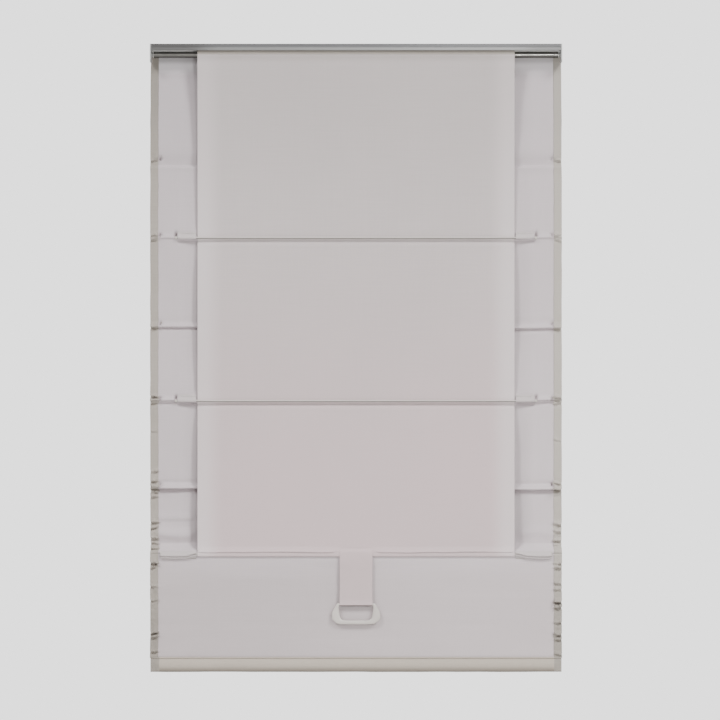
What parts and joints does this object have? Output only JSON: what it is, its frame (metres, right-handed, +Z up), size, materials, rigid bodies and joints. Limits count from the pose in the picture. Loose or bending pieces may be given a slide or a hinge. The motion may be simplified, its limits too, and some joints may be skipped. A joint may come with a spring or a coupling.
{
  "type": "roman blind",
  "caption": "Cordless roman blind: slim head rail, sprung roller with a lifting panel, cross rods, pull tab with loop handle, full-width cloth with a bottom bar.",
  "frame": {"origin": "middle of the head rail's top face, midway between its two ceiling screw holes", "axes": "+Z up, +X to the right along the rail, -Y towards the room"},
  "size_m": [1, 0.0497, 1.524],
  "materials": {
    "rail": "satin",
    "steel": "satin",
    "bracket_metal": "satin",
    "zinc": "satin",
    "white_plastic": "satin",
    "rod_white": "satin",
    "cloth": "matte",
    "panel_cloth": "matte",
    "hem_cloth": "matte",
    "tape": "matte",
    "bar_alu": "satin"
  },
  "bodies": {
    "head": {"head_rail": "rail", "left_end_bracket": "bracket_metal", "right_end_bracket": "bracket_metal", "bracket_screws": "zinc", "hook_tape": "tape", "loop_tape": "tape", "motor_spindle": "zinc", "spring_collar": "white_plastic", "main_fabric": "cloth", "centre_panel": "panel_cloth"},
    "roller": {"roller_tube": "steel", "panel_roll": "panel_cloth", "idle_plug": "white_plastic", "idle_pin": "zinc", "tube_bearing": "white_plastic", "spring_anchor": "white_plastic", "torsion_spring": "zinc"},
    "upper_rod": {"rod_a": "rod_white", "rod_a_caps": "white_plastic", "rod_a_pocket_left": "cloth", "rod_a_pocket_right": "cloth"},
    "middle_rod": {"rod_b": "rod_white", "rod_b_caps": "white_plastic", "rod_b_pocket_left": "cloth", "rod_b_pocket_right": "cloth"},
    "lift": {"lower_batten": "rod_white", "batten_caps": "white_plastic", "lower_pocket_left": "cloth", "lower_pocket_right": "cloth", "pull_tab": "panel_cloth", "bottom_bar": "bar_alu", "bottom_bar_cap_left": "white_plastic", "bottom_bar_cap_right": "white_plastic"},
    "handle": {"pull_handle": "white_plastic"}
  },
  "joints": [
    {"name": "lift_slide", "type": "slide", "parent": "head", "child": "lift", "axis": [0, 0, 1], "range_m": [0, 1.09], "deforming": ["main_fabric", "centre_panel"]},
    {"name": "upper_rod_slide", "type": "slide", "parent": "head", "child": "upper_rod", "axis": [0, 0, 1], "range_m": [0, 0.39]},
    {"name": "middle_rod_slide", "type": "slide", "parent": "head", "child": "middle_rod", "axis": [0, 0, 1], "range_m": [0, 0.754]},
    {"name": "roller_turn", "type": "hinge", "parent": "head", "child": "roller", "pos_m": [0, 0, -0.0252], "axis": [-1, 0, 0], "range_deg": [0, 3962]},
    {"name": "handle_swing", "type": "hinge", "parent": "lift", "child": "handle", "pos_m": [0, -0.0187, -1.36], "axis": [-1, 0, 0], "range_deg": [0, 120]}
  ],
  "couplings": [
    {"joint": "upper_rod_slide", "follows": "lift_slide", "ratio": 0.3577},
    {"joint": "middle_rod_slide", "follows": "lift_slide", "ratio": 0.6916},
    {"joint": "roller_turn", "follows": "lift_slide", "rad_per_m": 63.408}
  ]
}
